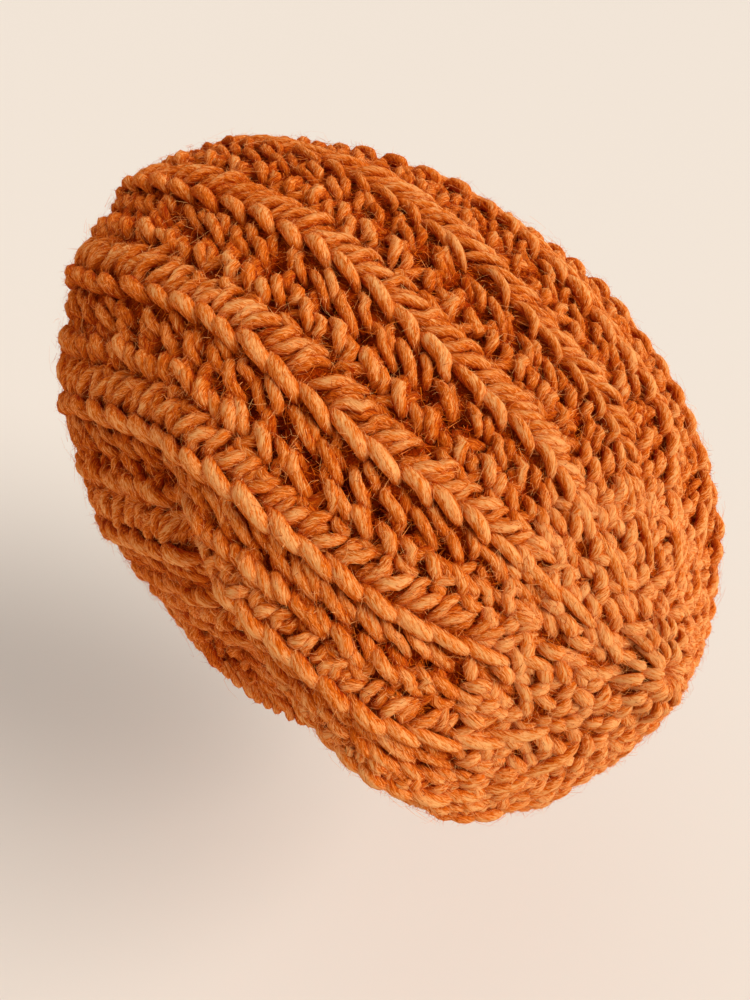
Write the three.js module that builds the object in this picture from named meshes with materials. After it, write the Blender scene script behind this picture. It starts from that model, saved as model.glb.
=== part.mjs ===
// Slouchy crochet beanie: one thick ribbed panel closed into a tube by a seam,
// drawn in at the crown, and shaped as it sits tipped back on a head.
//
// Millimetres. +Z is up, -Y is where the wearer faces, +X is the wearer's left.
// The origin is the inside of the hat over the crown of the head.
import * as THREE from "three";

// The panel, as it was crocheted.
const RIB_COUNT = 15; // ribs round the hat, each two rows of the panel
const SEAM_ANGLE = -5; // degrees from the top line to the seam, halfway along it

// The form that it takes on the head, in cross-sections from the brim to the crown.
// along: how far along the ribs; back, up: the centre of the section;
// tilt: degrees by which its axis leans back from upright; halfWidth, top, bottom: its
// half-axes to the side, to the top line and to the bottom line; turn: degrees by which the
// ribs have wound round the axis.
const SECTIONS = [
  { along: 0.0, back: -11, up: -112, tilt: 50.5, halfWidth: 79.5, top: 103.5, bottom: 115, turn: 11 },
  { along: 0.1, back: -9, up: -85.5, tilt: 54.5, halfWidth: 90, top: 102, bottom: 106, turn: 10 },
  { along: 0.22, back: 17, up: -76, tilt: 58.5, halfWidth: 96.5, top: 98.5, bottom: 89, turn: 8 },
  { along: 0.36, back: 53.5, up: -67, tilt: 64, halfWidth: 95.5, top: 83, bottom: 77, turn: 4.5 },
  { along: 0.5, back: 83.5, up: -66.5, tilt: 64.5, halfWidth: 93, top: 71, bottom: 66.5, turn: 0 },
  { along: 0.64, back: 113.5, up: -79.5, tilt: 69.5, halfWidth: 85, top: 62, bottom: 66, turn: -4.5 },
  { along: 0.76, back: 135.5, up: -97, tilt: 72, halfWidth: 72.5, top: 63.5, bottom: 46, turn: -9 },
  { along: 0.86, back: 148.5, up: -107.5, tilt: 72.5, halfWidth: 49, top: 57, bottom: 25, turn: -10.5 },
  { along: 0.94, back: 157, up: -99, tilt: 74, halfWidth: 25.5, top: 27, bottom: 16.5, turn: -11.5 },
  { along: 1.0, back: 161.5, up: -89, tilt: 64.5, halfWidth: 5, top: 5, bottom: 5, turn: -12 },
];

// The inner face, in the same way. It lies 9 to 10 mm inside the crest line of the ribs,
// and smooths over the tight bend at the bottom of the bulge.
const INNER_SECTIONS = [
  { along: 0.0, back: -11.7, up: -112.1, tilt: 53.1, halfWidth: 69.4, top: 94.1, bottom: 105.2 },
  { along: 0.1, back: -9.7, up: -88.8, tilt: 57.9, halfWidth: 77.6, top: 94.7, bottom: 98.6 },
  { along: 0.22, back: 13, up: -75.1, tilt: 60.1, halfWidth: 86.7, top: 85.1, bottom: 83 },
  { along: 0.36, back: 48.3, up: -68.5, tilt: 60.7, halfWidth: 86.3, top: 77.3, bottom: 68.7 },
  { along: 0.5, back: 81, up: -66.7, tilt: 60.4, halfWidth: 83.3, top: 63.7, bottom: 57.3 },
  { along: 0.64, back: 109.8, up: -80.7, tilt: 64.5, halfWidth: 76.2, top: 58, bottom: 48.8 },
  { along: 0.76, back: 130, up: -99.4, tilt: 70.1, halfWidth: 62.3, top: 59.1, bottom: 35.7 },
  { along: 0.86, back: 142.1, up: -107.5, tilt: 70.3, halfWidth: 39.4, top: 49.3, bottom: 18.7 },
  { along: 0.94, back: 149, up: -101.4, tilt: 70.5, halfWidth: 19.8, top: 26.8, bottom: 9.8 },
  { along: 1.0, back: 152.9, up: -93.1, tilt: 64.5, halfWidth: 5, top: 5, bottom: 5 },
];

// The cross-section of one rib. phase: how far round to the next rib;
// height: above the crest line of the ribs; edge: how far the brim's row ends stand out.
const RIB_PROFILE = [
  { phase: 0.0, height: 0.5, edge: 2 },
  { phase: 0.13, height: -2.5, edge: 0.5 },
  { phase: 0.32, height: -4.5, edge: -1 },
  { phase: 0.5, height: -2.5, edge: 2 },
  { phase: 0.68, height: -5, edge: -1 },
  { phase: 0.87, height: -3, edge: 0.5 },
];
const RELIEF_FADES_BELOW = 40; // a section with less half-width has lower ribs

// The crease where the part that hugs the head meets the bulge that hangs over it.
// angle: degrees from the top line, on both sides; along: where it runs; depth: how deep.
const CREASE = [
  { angle: 0, along: 0.4, depth: 0 },
  { angle: 62, along: 0.4, depth: 0 },
  { angle: 78, along: 0.42, depth: 6 },
  { angle: 95, along: 0.47, depth: 9 },
  { angle: 125, along: 0.5, depth: 6 },
  { angle: 180, along: 0.5, depth: 2 },
];
const CREASE_WIDTH = 0.045; // half-width, as a share of the rib's length

// The seam's chain of slip stitches lies in a groove in place of one rib.
const SEAM_GROOVE = -5.5; // height of the groove's floor
const SEAM_HALF_WIDTH = 0.2; // of the groove, as a share of a rib's pitch
const SEAM_CLEARANCE = 0.5; // between the chain and the floor
const SEAM_CREST = 0; // height of the chain's crest
const SEAM_SHOULDER = 0.7; // its shoulders' width, as a share of its foot's
const SEAM_START = 1; // the station that it starts at, counted from the brim
const SEAM_STOP = 3; // the stations that it stops short of the crown

// The knot of yarn that closes the crown: a stem through the crown's hole, and a low button
// whose outline is a row for each point, as shares of its radius and its height.
const GATHER_RADIUS = 9;
const GATHER_HEIGHT = 3;
const GATHER_CLEARANCE = 0.4;
const GATHER_STEM_RADIUS = 3.6;
const GATHER_STEM_LENGTH = 9;
const GATHER_BUTTON = [
  { radius: 0.89, height: 0 },
  { radius: 1, height: 0.4 },
  { radius: 0.75, height: 0.9 },
  { radius: 0.35, height: 1 },
  { radius: 0, height: 0.8 },
];
const GATHER_SIDES = 30;

// Facets.
const OUTER_STEPS = 38; // along the ribs, outside
const INNER_STEPS = 16; // along the ribs, inside
const EDGE_DROP = 3; // how far the brim's edge is rounded inward
const EDGE_REACH = 1.5; // how much further than outside the row ends stand out there
const AXES_STEP = 0.004; // the share of a rib over which the form's direction is taken

const YARN = { color: 0xbb5f25, roughness: 0.95, metalness: 0 };
const SEAM_YARN = { color: 0xc76c2f, roughness: 0.95, metalness: 0 };
const GATHER_YARN = { color: 0xd07a42, roughness: 0.95, metalness: 0 };

const radians = THREE.MathUtils.degToRad;

// A smooth curve through the rows of a table: the value of one column at a place.
function column(rows, key, name, at) {
  const last = rows.length - 1;
  let i = 0;
  while (i < last - 1 && at > rows[i + 1][key]) i += 1;
  const slope = (a, b) => (rows[b][name] - rows[a][name]) / (rows[b][key] - rows[a][key]);
  const tangent = (k) => {
    if (k === 0) return slope(0, 1);
    if (k === last) return slope(last - 1, last);
    return (slope(k - 1, k) + slope(k, k + 1)) / 2;
  };
  const width = rows[i + 1][key] - rows[i][key];
  const t = (at - rows[i][key]) / width;
  const t2 = t * t;
  const t3 = t2 * t;
  return (
    (2 * t3 - 3 * t2 + 1) * rows[i][name] +
    (t3 - 2 * t2 + t) * width * tangent(i) +
    (3 * t2 - 2 * t3) * rows[i + 1][name] +
    (t3 - t2) * width * tangent(i + 1)
  );
}

// A point of a smooth form, at an angle from the top line toward the wearer's left.
function formPoint(sections, angle, along) {
  const value = (name) => column(sections, "along", name, along);
  const tilt = radians(value("tilt"));
  const across = Math.sin(radians(angle)) * value("halfWidth");
  const lift = Math.cos(radians(angle));
  const rise = lift * value(lift > 0 ? "top" : "bottom");
  return new THREE.Vector3(
    across,
    value("back") - Math.cos(tilt) * rise,
    value("up") + Math.sin(tilt) * rise,
  );
}

// The direction of the axis where the crown is drawn in.
function crownAxis() {
  const tilt = radians(SECTIONS[SECTIONS.length - 1].tilt);
  return new THREE.Vector3(0, Math.sin(tilt), Math.cos(tilt));
}

// The direction along the ribs and the outward direction there.
function formAxes(sections, angle, along) {
  const before = Math.max(along - AXES_STEP, 0);
  const after = Math.min(along + AXES_STEP, 1);
  const forward = formPoint(sections, angle, after).sub(formPoint(sections, angle, before));
  const round = formPoint(sections, angle + 1, along).sub(formPoint(sections, angle - 1, along));
  const outward = along === 1 ? crownAxis() : round.cross(forward).normalize();
  return { forward: forward.normalize(), outward };
}

// How far the crease draws the wall in.
function creaseDepth(angle, along) {
  const turned = ((angle % 360) + 360) % 360;
  const side = Math.min(turned, 360 - turned);
  const depth = column(CREASE, "angle", "depth", side);
  const centre = column(CREASE, "angle", "along", side);
  const distance = (along - centre) / CREASE_WIDTH;
  return Math.max(depth, 0) * Math.exp(-distance * distance);
}

// The angle of a place on a rib: phase 0 is its crest, and ribs wind as they go.
function ribAngle(rib, phase, along) {
  const pitch = 360 / RIB_COUNT;
  return SEAM_ANGLE + (rib + phase) * pitch + column(SECTIONS, "along", "turn", along);
}

// A point at a height above a form, and shifted back toward the brim.
function pointOver(sections, rib, phase, along, height, shift = 0) {
  const angle = ribAngle(rib, phase, along);
  const { forward, outward } = formAxes(sections, angle, along);
  return formPoint(sections, angle, along)
    .addScaledVector(outward, height - creaseDepth(angle, along))
    .addScaledVector(forward, -shift);
}

// A point at a height above the crest line of the ribs.
function surfacePoint(rib, phase, along, height, shift) {
  return pointOver(SECTIONS, rib, phase, along, height, shift);
}

// How much of the ribs' relief is left where the crown is drawn in.
function reliefShare(along) {
  return Math.min(column(SECTIONS, "along", "halfWidth", along) / RELIEF_FADES_BELOW, 1);
}

// The height of the panel's outer face. The seam's groove takes the place of rib 0.
function outerHeight(rib, row, along) {
  const nearSeam =
    (rib === 0 && row.phase < SEAM_HALF_WIDTH) ||
    (rib === RIB_COUNT - 1 && row.phase > 1 - SEAM_HALF_WIDTH);
  const height = nearSeam ? SEAM_GROOVE : row.height;
  return height * reliefShare(along);
}

// One ring of the outer face, and one of the inner face with every second point.
function outerRing(along, extra = 0, shiftScale = 0) {
  const ring = [];
  for (let rib = 0; rib < RIB_COUNT; rib += 1) {
    for (const row of RIB_PROFILE) {
      const height = outerHeight(rib, row, along) + extra;
      ring.push(surfacePoint(rib, row.phase, along, height, row.edge * shiftScale));
    }
  }
  return ring;
}

function innerRing(along) {
  const ring = [];
  for (let rib = 0; rib < RIB_COUNT; rib += 1) {
    for (let i = 0; i < RIB_PROFILE.length; i += 2) {
      ring.push(pointOver(INNER_SECTIONS, rib, RIB_PROFILE[i].phase, along, 0));
    }
  }
  return ring;
}

function skin(positions, index) {
  const geometry = new THREE.BufferGeometry();
  geometry.setAttribute("position", new THREE.Float32BufferAttribute(positions, 3));
  geometry.setIndex(index);
  geometry.computeVertexNormals();
  return geometry;
}

// Joins rings of points into one closed skin. A ring may have half or twice the points of
// the last.
function closedSkin(rings) {
  const positions = [];
  const starts = rings.map((ring) => {
    const start = positions.length / 3;
    for (const point of ring) positions.push(point.x, point.y, point.z);
    return start;
  });
  const index = [];
  rings.forEach((ring, r) => {
    const next = (r + 1) % rings.length;
    const a = starts[r];
    const b = starts[next];
    const n = ring.length;
    const m = rings[next].length;
    if (n === m) {
      for (let i = 0; i < n; i += 1) {
        const j = (i + 1) % n;
        index.push(a + i, a + j, b + j, a + i, b + j, b + i);
      }
    } else if (n === 2 * m) {
      for (let i = 0; i < m; i += 1) {
        const j = (i + 1) % m;
        index.push(a + 2 * i, a + 2 * i + 1, b + i);
        index.push(a + 2 * i + 1, b + j, b + i);
        index.push(a + 2 * i + 1, a + 2 * j, b + j);
      }
    } else {
      for (let i = 0; i < n; i += 1) {
        const j = (i + 1) % n;
        index.push(a + i, b + 2 * i + 1, b + 2 * i);
        index.push(a + i, a + j, b + 2 * i + 1);
        index.push(a + j, b + 2 * j, b + 2 * i + 1);
      }
    }
  });
  return skin(positions, index);
}

const outerStations = Array.from({ length: OUTER_STEPS + 1 }, (_, i) => i / OUTER_STEPS);

// The ribbed panel, open at the brim and drawn in to a small hole at the crown.
function ribbedBody() {
  const rings = outerStations.map((along, i) => outerRing(along, 0, i === 0 ? 1 : 0));
  for (let i = INNER_STEPS; i > 0; i -= 1) rings.push(innerRing(i / INNER_STEPS));
  rings.push(innerRing(0));
  rings.push(outerRing(0, -EDGE_DROP, EDGE_REACH));
  return new THREE.Mesh(closedSkin(rings), new THREE.MeshStandardMaterial(YARN));
}

// The chain of slip stitches along the seam, from the brim's edge to the crown.
function seamChain() {
  const side = RIB_PROFILE[1].phase;
  const shoulderSide = side * SEAM_SHOULDER;
  const stations = outerStations.slice(SEAM_START, outerStations.length - SEAM_STOP);
  const rings = stations.map((along) => {
    const share = reliefShare(along);
    const floor = SEAM_GROOVE * share + SEAM_CLEARANCE;
    const crest = floor + (SEAM_CREST - SEAM_GROOVE) * share;
    const shoulder = (floor + 2 * crest) / 3;
    return [
      surfacePoint(0, -side, along, floor),
      surfacePoint(0, 0, along, floor),
      surfacePoint(0, side, along, floor),
      surfacePoint(0, shoulderSide, along, shoulder),
      surfacePoint(0, 0, along, crest),
      surfacePoint(0, -shoulderSide, along, shoulder),
    ];
  });
  return new THREE.Mesh(cappedSkin(rings), new THREE.MeshStandardMaterial(SEAM_YARN));
}

// Joins open rings in a row into one skin and closes both ends with a fan.
function cappedSkin(rings) {
  const positions = [];
  for (const ring of rings) {
    for (const point of ring) positions.push(point.x, point.y, point.z);
  }
  const n = rings[0].length;
  const index = [];
  for (let r = 0; r < rings.length - 1; r += 1) {
    for (let i = 0; i < n; i += 1) {
      const a = r * n + i;
      const b = r * n + ((i + 1) % n);
      index.push(a, a + n, b + n, a, b + n, b);
    }
  }
  const end = (rings.length - 1) * n;
  for (let i = 1; i < n - 1; i += 1) {
    index.push(0, i, i + 1);
    index.push(end, end + i + 1, end + i);
  }
  return skin(positions, index);
}

// The knot of drawn-up yarn: a low button outside, with a stem through the crown's hole.
function crownGather() {
  const stem = [
    new THREE.Vector2(0, -GATHER_STEM_LENGTH),
    new THREE.Vector2(GATHER_STEM_RADIUS, -GATHER_STEM_LENGTH),
    new THREE.Vector2(GATHER_STEM_RADIUS, GATHER_CLEARANCE),
  ];
  const button = GATHER_BUTTON.map(
    ({ radius, height }) =>
      new THREE.Vector2(GATHER_RADIUS * radius, GATHER_CLEARANCE + GATHER_HEIGHT * height),
  );
  const geometry = new THREE.LatheGeometry([...stem, ...button], GATHER_SIDES);
  const mesh = new THREE.Mesh(geometry, new THREE.MeshStandardMaterial(GATHER_YARN));
  const crown = SECTIONS[SECTIONS.length - 1];
  mesh.quaternion.setFromUnitVectors(new THREE.Vector3(0, 1, 0), crownAxis());
  mesh.position.set(0, crown.back, crown.up);
  return mesh;
}

const beanie = new THREE.Group();
for (const [name, mesh] of [
  ["ribbed_body", ribbedBody()],
  ["seam_chain", seamChain()],
  ["crown_gather", crownGather()],
]) {
  mesh.name = name;
  beanie.add(mesh);
}

export default beanie;
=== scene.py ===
"""A slouchy crochet beanie in thick wool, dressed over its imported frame.

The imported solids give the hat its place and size. Every strand of yarn is laid on the same
smooth form: ropes on the crests of the ribs, the leaning loops between them, the row ends at
the brim, the plain face inside, the drawn-up crown and the loose fibres over it all.
"""

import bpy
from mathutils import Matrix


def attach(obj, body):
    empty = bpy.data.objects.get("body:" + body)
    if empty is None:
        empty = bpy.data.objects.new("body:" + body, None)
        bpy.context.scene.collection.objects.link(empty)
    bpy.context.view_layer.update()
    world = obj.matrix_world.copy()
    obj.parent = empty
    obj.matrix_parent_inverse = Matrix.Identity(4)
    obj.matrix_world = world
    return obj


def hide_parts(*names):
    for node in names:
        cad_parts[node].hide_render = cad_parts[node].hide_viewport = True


bl_info = {
    "name": "Slouchy crochet beanie",
    "version": (1, 0, 0),
    "blender": (4, 5, 0),
    "location": "View3D > Sidebar > Beanie",
    "description": "Lays the yarn of a ribbed crochet hat over its packed frame",
    "category": "Object",
}

import bpy
import numpy as np
from mathutils import Matrix, Vector

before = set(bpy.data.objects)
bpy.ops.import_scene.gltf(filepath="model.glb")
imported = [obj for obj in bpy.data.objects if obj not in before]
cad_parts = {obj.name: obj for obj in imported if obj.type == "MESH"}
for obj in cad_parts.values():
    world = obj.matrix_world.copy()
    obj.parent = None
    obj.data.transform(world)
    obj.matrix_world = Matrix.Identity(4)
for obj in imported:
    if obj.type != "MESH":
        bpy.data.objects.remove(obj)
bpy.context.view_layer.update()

RIBS = 15
STITCHES = 25
MM = 1000  # millimetres in a metre
SEAM_ANGLE = -5.0  # degrees from the top line to the seam, halfway along it
RIB_PERIOD = 38.7  # mm from rope to rope, round the middle of the wall where it is widest
STITCH_PITCH = 11.4  # mm from stitch to stitch along a rib of the flat panel
CROWN_START = 22  # the stitch from which the loops lie in no order
LAID_UNDER = 0.9  # mm from the crest line down to where the strands' heights count from
# How the ropes and the seam are laid: points to a strand, the stitch that they run up to,
# their painted light as a share of a loop's, and how much of it they lose toward the brim as painted
# shade.
ROPE_LAY = {"steps": 11, "last": 23, "shade": 0.88, "brim_shade": 0.32}
LOOP_BRIM_SHADE = 0.16  # painted shade: the light that the loops lose toward the brim
RELIEF_LEFT = 0.35  # share of the ribs' relief that the crown keeps
UNLIT_HEIGHT = -6.5  # mm over the crest line, where no light reaches
LIT_RISE = 6.0  # mm more, where all of it does

# Chance in a strand's place, for a wander of 1: ribs, stitches and mm as a whole, and ribs
# and stitches at each of its points.
WANDER_RIB = 0.014
WANDER_STITCH = 0.07
WANDER_HEIGHT = 0.25
POINT_RIB = 0.008
POINT_STITCH = 0.05

# What each piece adds to the seed, so that its random numbers are its own.
SEED_STEPS = {
    "ropes": 0, "seam": 1, "loops": 10, "inside": 30, "brim": 40, "gather": 50, "fuzz": 60, "crown": 70,
}
GRID_SEED = 11  # all kinds of strand share the stitches' places

# The short fibres on the strands.
TWIST = -0.42  # their lean round a strand, in radians
FIBRE_TURN = 0.85  # how far round a strand they spread from its top, in radians
TWIST_SPREAD = 0.30  # of their lean, in radians
TONE_SPREAD = 0.42
CLUMPS = 18  # clumps of like tone round a strand
CLUMP_TONE = 0.2  # the spread of tone from clump to clump
CLUMP_WIND = 5  # how fast the clumps wind along it, in twists
STRAY_SHARE = 0.45  # of the fibres that leave the twist
STRAY_SPREAD = 1.0  # of their lean, in radians
STRAY_LENGTH = 0.8  # as a share of the others'
STRAY_TONE = -0.16  # their tone beside the others'
FIBRE_REACH = 0.45  # a fibre's length, as a share of the short fibre's for each mm of half width
MATTED_REACH = 1.5  # a matted fibre's length, as a share of the short fibre's
LOOSE_WIDTH = 0.7  # a loose fibre's width, as a share of the fibre width

# The form that the hat takes, in cross-sections from brim to crown:
# along, back, up, tilt, half width, top, bottom, turn. Millimetres and degrees.
OUTER_FORM = np.array([
    [0.00, -11, -112, 50.5, 79.5, 103.5, 115, 11],
    [0.10, -9, -85.5, 54.5, 90, 102, 106, 10],
    [0.22, 17, -76, 58.5, 96.5, 98.5, 89, 8],
    [0.36, 53.5, -67, 64, 95.5, 83, 77, 4.5],
    [0.50, 83.5, -66.5, 64.5, 93, 71, 66.5, 0],
    [0.64, 113.5, -79.5, 69.5, 85, 62, 66, -4.5],
    [0.76, 135.5, -97, 72, 72.5, 63.5, 46, -9],
    [0.86, 148.5, -107.5, 72.5, 49, 57, 25, -10.5],
    [0.94, 157, -99, 74, 25.5, 27, 16.5, -11.5],
    [1.00, 161.5, -89, 64.5, 5, 5, 5, -12],
])
INNER_FORM = np.array([
    [0.00, -11.7, -112.1, 53.1, 69.4, 94.1, 105.2, 11],
    [0.10, -9.7, -88.8, 57.9, 77.6, 94.7, 98.6, 10],
    [0.22, 13.0, -75.1, 60.1, 86.7, 85.1, 83.0, 8],
    [0.36, 48.3, -68.5, 60.7, 86.3, 77.3, 68.7, 4.5],
    [0.50, 81.0, -66.7, 60.4, 83.3, 63.7, 57.3, 0],
    [0.64, 109.8, -80.7, 64.5, 76.2, 58.0, 48.8, -4.5],
    [0.76, 130.0, -99.4, 70.1, 62.3, 59.1, 35.7, -9],
    [0.86, 142.1, -107.5, 70.3, 39.4, 49.3, 18.7, -10.5],
    [0.94, 149.0, -101.4, 70.5, 19.8, 26.8, 9.8, -11.5],
    [1.00, 152.9, -93.1, 64.5, 5, 5, 5, -12],
])
# The crease between the part that hugs the head and the slack: angle from the top line,
# place along the ribs, depth in mm.
CREASE = np.array([
    [0, 0.4, 0], [62, 0.4, 0], [78, 0.42, 6],
    [95, 0.47, 9], [125, 0.5, 6], [180, 0.5, 2],
])
CREASE_WIDTH = 0.045  # as a share of a rib's length

# The strands of one stitch. Each row is a point: how far round to the next rope, how many
# stitches along, height over the crest line in mm.
ROPE = (
    (-0.07, -0.30, -4.8), (-0.045, -0.04, -2.4), (-0.02, 0.26, -0.8),
    (0.015, 0.62, -0.3), (0.045, 0.94, -1.3), (0.065, 1.18, -4.4),
)
STEEP = (
    (0.12, -0.18, -5.4), (0.16, -0.02, -3.5), (0.20, 0.2, -2.6),
    (0.26, 0.5, -2.6), (0.31, 0.8, -3.4), (0.33, 0.98, -5.6),
)
KNOB = (
    (0.40, 0.38, -6.2), (0.42, 0.5, -3.6), (0.46, 0.68, -1.9),
    (0.52, 0.9, -1.9), (0.57, 1.05, -3.4), (0.60, 1.12, -5.2),
)
CURL = (
    (0.97, 0.42, -4.8), (0.91, 0.55, -3.2), (0.82, 0.68, -2.1),
    (0.73, 0.76, -1.9), (0.66, 0.92, -2.6), (0.61, 1.1, -4.8),
)
LEAF = (
    (0.98, -0.25, -4.8), (0.92, -0.04, -3.0), (0.85, 0.16, -1.6),
    (0.77, 0.40, -1.5), (0.70, 0.64, -2.6), (0.66, 0.8, -5.0),
)
SHORT = (
    (0.04, 0.18, -4.4), (0.09, 0.32, -3.2), (0.13, 0.5, -2.4),
    (0.18, 0.7, -2.7), (0.22, 0.9, -4.0), (0.24, 1.0, -5.6),
)
KNUCKLE = (
    (0.41, -0.12, -5.6), (0.44, 0.02, -3.6), (0.48, 0.2, -2.3),
    (0.53, 0.38, -2.4), (0.57, 0.5, -3.8), (0.59, 0.58, -5.4),
)
FILL = (
    (0.22, 0.62, -6.0), (0.28, 0.50, -4.6), (0.33, 0.55, -3.9),
    (0.38, 0.70, -3.9), (0.44, 0.88, -4.6), (0.47, 0.95, -6.0),
)
AFTER = (
    (0.97, 0.60, -5.4), (0.91, 0.75, -3.9), (0.84, 0.90, -3.0),
    (0.76, 1.03, -2.8), (0.69, 1.17, -3.6), (0.65, 1.28, -5.6),
)
NUB = (
    (0.61, 0.12, -5.6), (0.63, 0.24, -3.6), (0.66, 0.38, -2.9),
    (0.67, 0.54, -3.0), (0.65, 0.7, -3.9), (0.62, 0.8, -5.6),
)
UNDER = (
    (0.96, 0.08, -5.6), (0.91, 0.20, -4.1), (0.85, 0.36, -3.4),
    (0.78, 0.54, -3.3), (0.72, 0.70, -4.2), (0.67, 0.82, -5.8),
)
BRIDGE = (
    (0.30, 0.95, -6.0), (0.37, 0.80, -4.4), (0.45, 0.72, -4.0),
    (0.55, 0.55, -3.7), (0.63, 0.42, -3.8), (0.70, 0.30, -5.2),
)
# The loops between the ropes: name, shape, width and depth as shares of a strand's, wander.
LOOP_KINDS = (
    ("leaf_strands", LEAF, 0.88, 0.84, 1.1), ("curl_strands", CURL, 0.84, 0.82, 1.1),
    ("knob_strands", KNOB, 0.94, 0.94, 1.4), ("steep_strands", STEEP, 0.82, 0.80, 1.6),
    ("short_strands", SHORT, 0.80, 0.80, 1.7), ("knuckle_strands", KNUCKLE, 0.90, 0.86, 1.7),
    ("bridge_strands", BRIDGE, 0.90, 0.84, 1.7), ("fill_strands", FILL, 0.90, 0.84, 1.7),
    ("nub_strands", NUB, 0.86, 0.84, 1.7), ("after_strands", AFTER, 0.88, 0.84, 1.1),
    ("under_strands", UNDER, 0.88, 0.80, 1.1),
)

# The gap that each stitch leaves, sunk into the cloth and darkened by painted shade: its
# place and half width, round the hat in ribs and along it in stitches.
HOLE_RIB = 0.31
HOLE_RIB_WIDTH = 0.07
HOLE_STITCH = 0.14
HOLE_STITCH_WIDTH = 0.24
HOLE_OPEN_WIDTH = 0.22  # within this the matted fibres sink into the gap
HOLE_DEPTH = 2.6  # mm, in the cloth
HOLE_FIBRE_DEPTH = 2.4  # mm, for the matted fibres

# The cloth behind the strands.
GROUND_COLUMNS = 12  # in a rib
GROUND_ROWS = 6  # in a stitch
GROUND_INNER_ROWS = 30  # from the crown to the brim
GROUND_HEIGHT = -3.9  # mm over the crest line, halfway between rope and trough
GROUND_WAVE = 0.4  # mm more on the ropes and less between them
GROUND_INNER_HEIGHT = -0.3  # mm over the inner form
SEAM_SINK = 1.2  # mm deeper under the seam
SEAM_WIDTH = 0.13  # of that sink, in ribs

# A row end that turns over the brim: stitches along, mm over the form.
BRIM_LANES = 4  # row ends to a row
BRIM_OUTSIDE = ((0.9, -2.4), (0.35, -1.5), (-0.05, -1.6))
BRIM_INSIDE = ((-0.05, -0.2), (0.35, -0.6), (0.8, 0.8))

# A loop of the crown: share of its half length, share of its bow, mm over its middle.
CROWN_ARCH = (
    (-1.0, 0.0, -2.4), (-0.6, 0.65, -0.4), (0.0, 1.0, 0.3),
    (0.6, 0.65, -0.4), (1.0, 0.0, -2.4),
)
CROWN_TRIES = 9000
CROWN_SPACING = 3.7  # mm from loop to loop at the least

# The strands that draw the crown together, a ring to a row: how many, where they begin and
# end in mm from the middle, and how high they rise in mm.
GATHER_RINGS = ((14, 9.6, 0.9, 1.9), (15, 14.5, 7.0, 1.0))

# The photograph's camera, in the hat's own frame.
CAMERA_PLACE = (0.1560, 0.2224, 0.0618)
CAMERA_RIGHT = (-0.7844, 0.6181, 0.0521)
CAMERA_UP = (-0.3183, -0.4732, 0.8215)
CAMERA_AHEAD = (-0.5324, -0.6278, -0.5678)
CAMERA_LENS = 28.44  # mm, for a picture 36 mm long
CAMERA_SENSOR = 36.0
FLOOR_HEIGHT = -0.2694
FLOOR_REACH = 40.0
KEY_FROM = (-0.52, 0.80, 0.66)  # where the main light comes from
KEY_SPREAD = 40  # degrees, for soft shadows
KEY_COLOUR = (1.0, 0.96, 0.9)
ROOM_COLOUR = (1.0, 0.95, 0.9)


class BeanieYarn(bpy.types.PropertyGroup):
    """The yarn: how thick it is worked and what colours it shows."""

    thickness: bpy.props.FloatProperty(
        name="Strand thickness",
        description="Width of a strand before each kind's own share, in metres",
        default=0.0044, min=0.002, max=0.008, subtype="DISTANCE", unit="LENGTH")
    # Painted light, with the palest streaks: the colour where most light reaches, on the strands' tops.
    lit: bpy.props.FloatVectorProperty(
        name="Lit fibre", description="Colour of the palest fibres", subtype="COLOR",
        default=(1.0, 0.46, 0.155), size=3, min=0, max=1)
    body: bpy.props.FloatVectorProperty(
        name="Yarn", description="Main colour of the yarn", subtype="COLOR",
        default=(0.82, 0.168, 0.007), size=3, min=0, max=1)
    # Painted shade, with the darkest streaks: the colour where little light reaches, between and under
    # the strands.
    deep: bpy.props.FloatVectorProperty(
        name="Deep yarn", description="Colour between the strands", subtype="COLOR",
        default=(0.42, 0.031, 0.0002), size=3, min=0, max=1)
    seed: bpy.props.IntProperty(
        name="Seed", description="Start of every random choice", default=7, min=0)


class BeanieFuzz(bpy.types.PropertyGroup):
    """The fibres that stand out of the yarn."""

    per_strand: bpy.props.FloatProperty(
        name="Fibres on a strand", description="How many short fibres lie on each strand",
        default=34.0, min=0, max=60)
    sliver: bpy.props.FloatProperty(
        name="Short fibre", description="Mean length of a short fibre, in metres",
        default=0.0021, min=0.0005, max=0.01, subtype="DISTANCE", unit="LENGTH")
    matted: bpy.props.IntProperty(
        name="Matted fibres", description="How many fibres lie on the cloth behind the strands",
        default=70000, min=0, max=100000)
    count: bpy.props.IntProperty(
        name="Loose fibres", description="How many long fibres stand out",
        default=11000, min=0, max=30000)
    length: bpy.props.FloatProperty(
        name="Loose fibre", description="Mean length of a long fibre, in metres",
        default=0.006, min=0.001, max=0.02, subtype="DISTANCE", unit="LENGTH")
    width: bpy.props.FloatProperty(
        name="Fibre width", description="Width of a fibre at its root, in metres",
        default=0.00013, min=0.00002, max=0.0005, subtype="DISTANCE", unit="LENGTH")


class BeanieStage(bpy.types.PropertyGroup):
    """Floor and light."""

    floor: bpy.props.FloatVectorProperty(
        name="Floor", description="Colour of the floor", subtype="COLOR",
        default=(0.86, 0.79, 0.72), size=3, min=0, max=1)
    key: bpy.props.FloatProperty(
        name="Key light", description="Strength of the main light", default=2.6, min=0)
    room: bpy.props.FloatProperty(
        name="Room light", description="Strength of the even light from all round", default=0.58, min=0)


LAID = {}  # the paths and widths of the outer strands, by piece, for the fibres on them


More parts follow.
